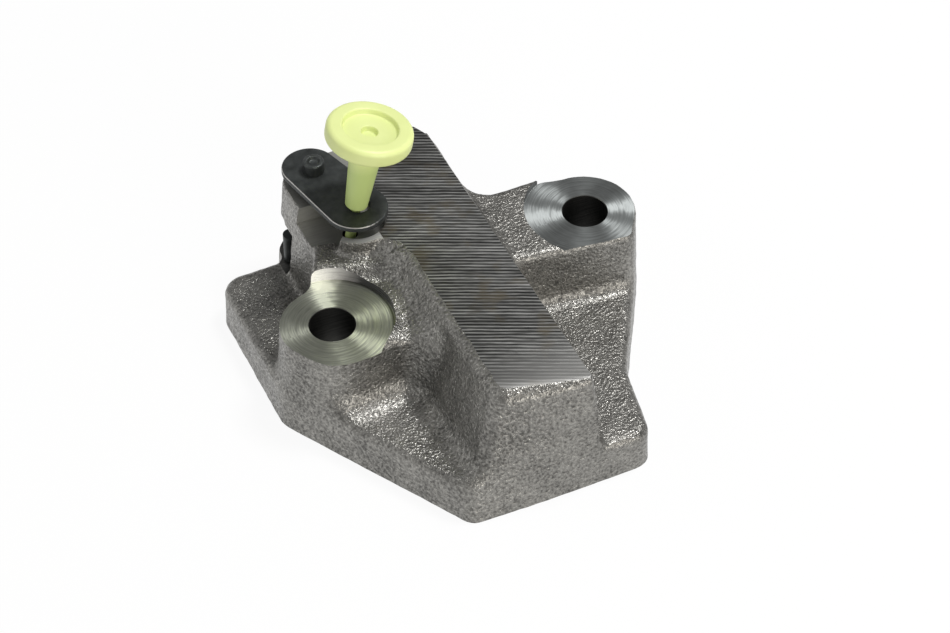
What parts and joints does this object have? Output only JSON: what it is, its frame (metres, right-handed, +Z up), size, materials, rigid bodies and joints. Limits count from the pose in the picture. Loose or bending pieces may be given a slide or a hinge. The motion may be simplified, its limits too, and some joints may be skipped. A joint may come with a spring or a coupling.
{
  "type": "timing chain tensioner",
  "caption": "Cast iron chain tensioner with a sliding plunger, a ratchet pawl on a lever plate, two bolt pads, a milled ridge and a moulded lock pin for transport.",
  "frame": {"origin": "midway between the two bolt holes, on the mounting face", "axes": "+Z up from the mounting face, along the bolts; +Y along the plunger, towards its nose; +X towards the right bolt ear"},
  "size_m": [0.0759, 0.0803, 0.0479],
  "materials": {
    "cast_iron": "raw sand-cast grain, machined pads, ridge top and bores",
    "ground_steel": "ground",
    "spring_steel": "drawn wire and sheet",
    "black_oxide": "black oxide with bright worn edges",
    "pin_plastic": "moulded, yellow-green, slightly translucent"
  },
  "bodies": {
    "housing": {"housing": "cast_iron", "plunger_spring": "spring_steel", "valve_seat": "ground_steel", "ball_spring": "spring_steel", "ball_cage": "spring_steel", "lever_spring": "spring_steel"},
    "plunger": {"plunger": "ground_steel", "vent_disc": "ground_steel"},
    "pawl": {"pawl": "black_oxide", "pivot_pin": "black_oxide", "lever_plate": "black_oxide"},
    "lock_pin": {"lock_pin": "pin_plastic"},
    "check_ball": {"check_ball": "ground_steel"}
  },
  "joints": [
    {"name": "plunger_slide", "type": "slide", "parent": "housing", "child": "plunger", "axis": [0, 1, 0], "range_m": [0, 0.016], "deforming": ["plunger_spring"]},
    {"name": "pawl_pivot", "type": "hinge", "parent": "housing", "child": "pawl", "pos_m": [-0.0177, 0.0269, 0], "axis": [0, 0, 1], "range_deg": [-7, 0]},
    {"name": "lock_pin_pull", "type": "slide", "parent": "housing", "child": "lock_pin", "axis": [0.1874, 0, 0.9823], "range_m": [0, 0.03]},
    {"name": "ball_lift", "type": "slide", "parent": "housing", "child": "check_ball", "axis": [0, 1, 0], "range_m": [0, 0.0008], "stiffness_N_per_m": 40, "deforming": ["ball_spring"]}
  ]
}
